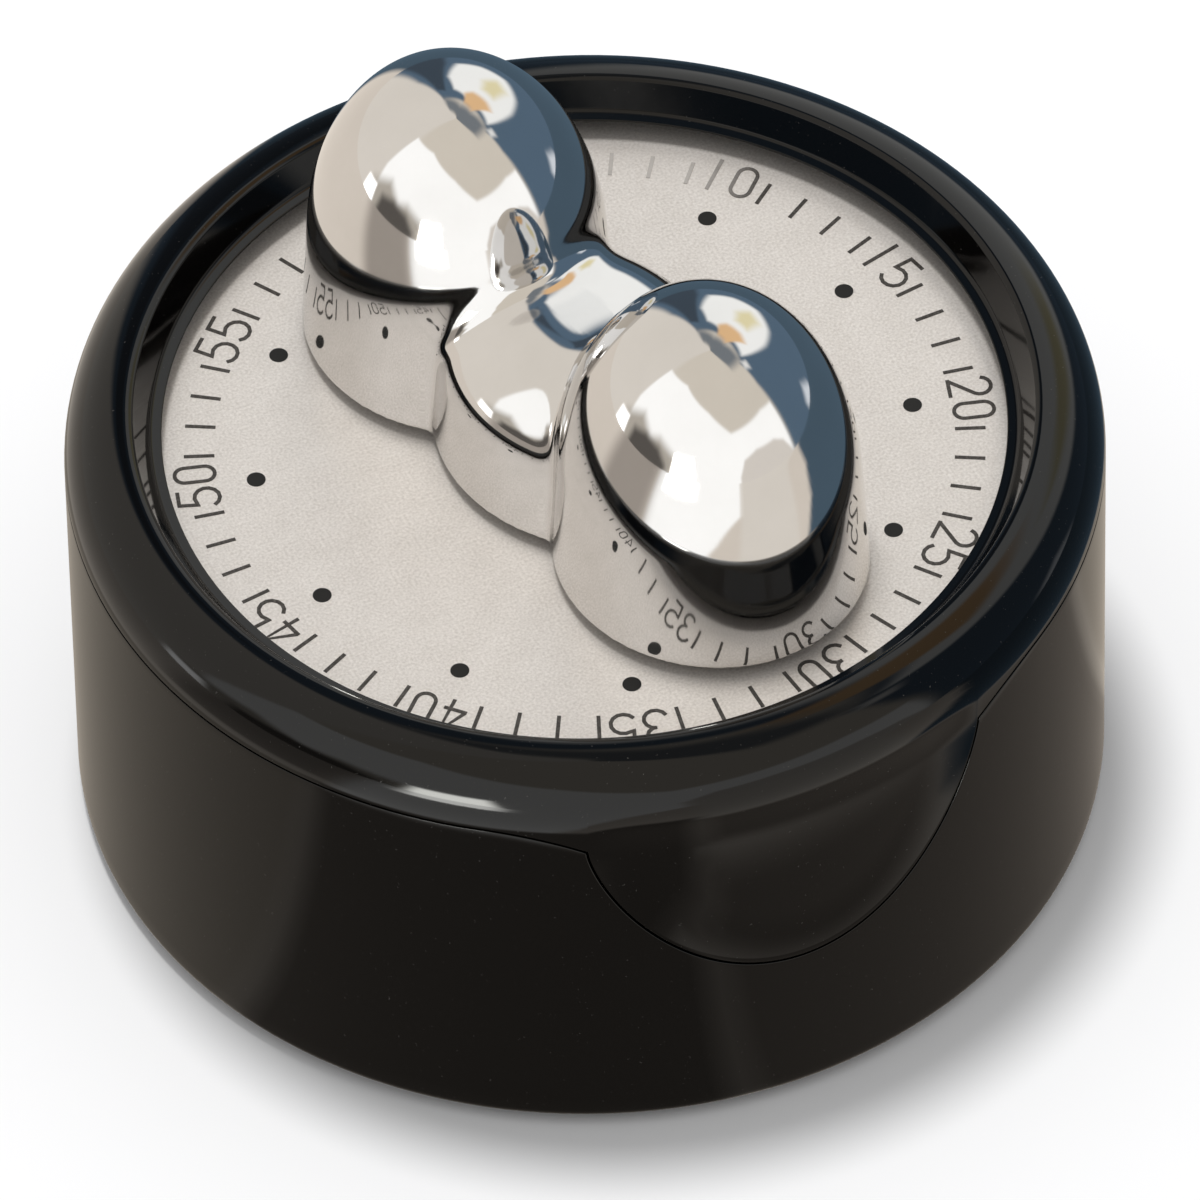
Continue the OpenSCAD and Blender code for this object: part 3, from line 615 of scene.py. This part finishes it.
def surface_net(distance, low, high, step):
    """Points and quads on the nought surface of a distance function, one point to a crossed cell."""
    axes = [np.arange(a, b + step, step) for a, b in zip(low, high)]
    grid = np.stack(np.meshgrid(*axes, indexing="ij"), -1)
    value = distance(grid)
    inside = value < 0
    shape = tuple(n - 1 for n in value.shape)
    corners = [(a, b, c) for a in (0, 1) for b in (0, 1) for c in (0, 1)]

    def at(array, c):
        return array[c[0]:c[0] + shape[0], c[1]:c[1] + shape[1], c[2]:c[2] + shape[2]]

    total, count = np.zeros(shape + (3,)), np.zeros(shape)
    for a in corners:
        for b in corners:
            if sum(abs(i - j) for i, j in zip(a, b)) != 1 or a > b:
                continue
            va, vb = at(value, a), at(value, b)
            crossed = (va < 0) != (vb < 0)
            t = np.where(crossed, va / np.where(crossed, va - vb, 1), 0)
            point = at(grid, a) + t[..., None] * (at(grid, b) - at(grid, a))
            total += np.where(crossed[..., None], point, 0)
            count += crossed
    used = count > 0
    index = np.full(shape, -1)
    index[used] = np.arange(used.sum())
    points = total[used] / count[used][:, None]
    quads = []
    for axis in range(3):
        u, v = [i for i in range(3) if i != axis]
        a = np.take(inside, range(0, inside.shape[axis] - 1), axis)
        b = np.take(inside, range(1, inside.shape[axis]), axis)
        for here in np.argwhere(a != b):
            cells = []
            for du, dv in ((-1, -1), (0, -1), (0, 0), (-1, 0)):
                cell = list(here)
                cell[u] += du
                cell[v] += dv
                cells.append(index[tuple(cell)])
            flip = a[tuple(here)] == (axis != 1)
            quads.append(cells if flip else cells[::-1])
    return points, np.array(quads)


def relax(points, quads, distance, rounds):
    """Evens out the points along the surface and puts them back on it."""
    pairs = np.concatenate([quads[:, [i, (i + 1) % 4]] for i in range(4)])
    pairs = np.concatenate([pairs, pairs[:, ::-1]])
    degree = np.bincount(pairs[:, 0], minlength=len(points))[:, None]
    for turn in range(rounds + 2):
        if turn < rounds:
            total = np.zeros_like(points)
            np.add.at(total, pairs[:, 0], points[pairs[:, 1]])
            points = points + 0.5 * (total / degree - points)
        slope = slope_of(distance, points)
        points = points - (distance(points) / np.maximum((slope ** 2).sum(-1), 0.2))[:, None] * slope
    return points


def to_row_frame(points):
    """Dial millimetres to row-frame millimetres."""
    c, s = math.cos(TURN), math.sin(TURN)
    return points @ np.array([[c, s, 0], [-s, c, 0], [0, 0, 1]]) + [0, 0, DIAL_Z]


def knob():
    """The chrome knob: two domed lobes and the hub between them, one flowing moulding."""
    points, quads = surface_net(knob_distance, (-12.6, -28.9, -0.4), (12.6, 28.9, 27.6), 0.35)
    points = relax(points, quads, knob_distance, 4)
    normals = slope_of(knob_distance, points)
    normals /= np.linalg.norm(normals, axis=1)[:, None]
    turned = to_row_frame(normals) - [0, 0, DIAL_Z]
    piece("knob_shell", to_row_frame(points), quads, "knob_chrome", "dial", ["knob"], turned)


# ------------------------------------------------------------------ bezel and housing

EDGE = 0.09                       # radius on the edges that face each other across the joint
EDGE_DEPTH = 0.6                  # how far in from the wall those edges' flanks are given points
DISH = 0.40                       # depth of the scoop below the wall
DISH_RUN = 4.8                    # how far in from its edge that depth is reached
SHOULDER_R = 5.0
FOOT_R = 1.0                      # round on the housing's lower edge


def scoop_edge(count):
    """The scoop's outline from corner to corner: azimuth from the scoop's middle, and height."""
    t = np.linspace(-math.pi / 2, math.pi / 2, count)
    depth = (CORNER_Z - TONGUE_Z) * np.cos(t).clip(0) ** 1.4
    return np.stack([SCOOP_HALF * np.sin(t), CORNER_Z - depth], -1)


def joint_line():
    """The line between bezel and housing, once round: evenly spaced in the scoop, then flare and level."""
    scoop = scoop_edge(2001)
    step = np.linalg.norm(np.diff(scoop * [CASE_R, 1], axis=0), axis=1)
    length = np.concatenate([[0], np.cumsum(step)])
    even = np.linspace(0, length[-1], 97)
    scoop = np.stack([np.interp(even, length, scoop[:, i]) for i in (0, 1)], -1)
    k = np.linspace(0, 1, 13)[1:]
    across = math.sin(SCOOP_HALF) + (math.sin(FLARE_HALF) - math.sin(SCOOP_HALF)) * k
    flare = np.stack([np.arcsin(across), JOINT_Z - FLARE * (1 - k) ** 2], -1)
    rest = np.linspace(FLARE_HALF, 2 * math.pi - FLARE_HALF, 145)[1:-1]
    rest = np.stack([rest, np.full(len(rest), JOINT_Z)], -1)
    return np.vstack([scoop, flare, rest, flare[::-1] * [-1, 1] + [2 * math.pi, 0]])


def offset(line, distance):
    """The joint line moved along the wall, away from the bezel where distance is above nought."""
    flat = line * [CASE_R, 1]
    turn = np.array([2 * math.pi * CASE_R, 0])
    before = np.vstack([flat[-1] - turn, flat[:-1]])
    after = np.vstack([flat[1:], flat[0] + turn])

    def normal(a, b):
        d = b - a
        d /= np.linalg.norm(d, axis=1)[:, None]
        return np.stack([d[:, 1], -d[:, 0]], -1)

    n0, n1 = normal(before, flat), normal(flat, after)
    mid = n0 + n1
    mid /= np.linalg.norm(mid, axis=1)[:, None]
    reach = distance / np.maximum((mid * n1).sum(1), 0.5)
    return (flat + mid * reach[:, None]) / [CASE_R, 1]


def dish(azimuth, z):
    """How far the scoop lies below the wall."""
    edge = scoop_edge(61) * [CASE_R, 1]
    edge = np.vstack([[edge[0, 0], CORNER_Z + 8], edge, [edge[-1, 0], CORNER_Z + 8]])
    p = np.stack([CASE_R * azimuth, z], -1)
    best = np.full(azimuth.shape, 1e9)
    for a, b in zip(edge[:-1], edge[1:]):
        d = b - a
        k = np.clip(((p - a) @ d) / (d @ d), 0, 1)
        best = np.minimum(best, np.linalg.norm(p - a - k[..., None] * d, axis=-1))
    inside = np.abs(azimuth) < SCOOP_HALF
    k = 1 - np.clip(best / DISH_RUN, 0, 1)
    fade = 1 - np.clip((z - CORNER_Z + 1) / 6, 0, 1)
    return np.where(inside, DISH * (1 - k * k) * fade * fade * (3 - 2 * fade), 0)


def round_about(azimuth, radius, z):
    """Points on a turned surface, with azimuth measured from the scoop's middle."""
    a = azimuth + SCOOP_FRONT
    return np.stack([radius * np.cos(a), radius * np.sin(a), z], -1)


def bezel_top():
    """The bezel's section from its hidden inner wall over the lip and the inner slope to the rim's edge."""
    lip_r, lip_bottom = 32.4, DIAL_Z + 1.75
    pocket_r = mm("dial_plate", 1, 0) + 0.5
    deck_top = mm("deck", 1, 2)
    well_r, well_top = WALL_IN - 4, DIAL_Z - 1.4
    rim_in = CASE_R - SHOULDER_R
    return fillet([(WALL_IN - GAP, deck_top, 0), (well_r, deck_top, 0.1), (well_r, well_top, 0.1),
                   (pocket_r, well_top, 0.1), (pocket_r, lip_bottom, 0.2), (lip_r + 0.1, lip_bottom, 0.05),
                   (lip_r, DIAL_Z + 1.98, 0.1), (33.35, DIAL_Z + 2.08, 0.5), (34.62, RIM_Z - 0.2, 0.22),
                   (rim_in, RIM_Z, 0)])


def bezel():
    """Lip, rim and shoulder, with the tongue that runs down into the housing at the scoop."""
    line = joint_line()
    edge_in = offset(line, -EDGE)
    columns = len(line)
    top = bezel_top()
    rows = [round_about(line[:, 0], np.full(columns, r), np.full(columns, z)) for r, z in top[:-1]]
    centre_r, centre_z = CASE_R - SHOULDER_R, RIM_Z - SHOULDER_R
    arc = [(centre_r + SHOULDER_R * math.cos(a), centre_z + SHOULDER_R * math.sin(a))
           for a in np.linspace(math.pi / 2, 0, 40)]
    for r, z in arc:
        z = np.full(columns, z)
        rows.append(round_about(line[:, 0], r - dish(line[:, 0], z), z))
    for s in np.linspace(0, 1, 40)[1:] ** 0.9:
        azimuth = line[:, 0] + s * (edge_in[:, 0] - line[:, 0])
        z = centre_z + s * (edge_in[:, 1] - centre_z)
        rows.append(round_about(azimuth, CASE_R - dish(azimuth, z), z))
    for turn in np.linspace(0.25, 1, 4) * math.pi / 2:
        out = offset(line, -EDGE + EDGE * math.sin(turn))
        depth = EDGE * (1 - math.cos(turn))
        rows.append(round_about(out[:, 0], CASE_R - depth - dish(edge_in[:, 0], edge_in[:, 1]), out[:, 1]))
    for r in (CASE_R - EDGE_DEPTH, WALL_IN):
        rows.append(round_about(line[:, 0], np.full(columns, r), line[:, 1]))
    rows.append(round_about(line[:, 0], np.full(columns, WALL_IN - GAP), np.full(columns, top[0][1])))
    grid = np.stack(rows, 1)
    obj = piece("bezel_moulding", grid.reshape(-1, 3), grid_faces(columns, grid.shape[1], True), "case_black",
                "case", ["bezel"])
    weld(obj)


def housing():
    """The plain wall below the joint, with the opening for the bezel's tongue."""
    joint = joint_line()
    azimuth = joint[:, 0]
    line = offset(joint, GAP)
    edge_in = offset(joint, GAP + EDGE)
    columns = len(line)
    flank = (WALL_IN, CASE_R - EDGE_DEPTH)
    rows = [round_about(line[:, 0], np.full(columns, r), line[:, 1]) for r in flank]
    for turn in np.linspace(0, 0.75, 4) * math.pi / 2:
        back = EDGE * (1 - math.sin(turn))
        out = offset(joint, GAP + back)
        rows.append(round_about(out[:, 0], np.full(columns, CASE_R - back), out[:, 1]))
    bottom = CASE_BOTTOM + FOOT_R
    for s in np.linspace(0, 1, 28) ** 1.15:
        a = edge_in[:, 0] + s * (azimuth - edge_in[:, 0])
        z = edge_in[:, 1] + s * (bottom - edge_in[:, 1])
        rows.append(round_about(a, np.full(columns, CASE_R), z))
    for turn in np.linspace(0.15, 1, 7) * math.pi / 2:
        rows.append(round_about(azimuth, np.full(columns, CASE_R - FOOT_R + FOOT_R * math.cos(turn)),
                                np.full(columns, bottom - FOOT_R * math.sin(turn))))
    for r in (CASE_R - FOOT_R - 0.1, WALL_IN + 0.1, WALL_IN):
        rows.append(round_about(azimuth, np.full(columns, r), np.full(columns, CASE_BOTTOM)))
    grid = np.stack(rows, 1)
    obj = piece("housing_wall", grid.reshape(-1, 3), grid_faces(columns, grid.shape[1], True), "case_black",
                "case", ["housing"])
    weld(obj)


camera()
surroundings()
table_reflections()
floor()
lighting()
finish_cad_nodes()
knob()
bezel()
housing()
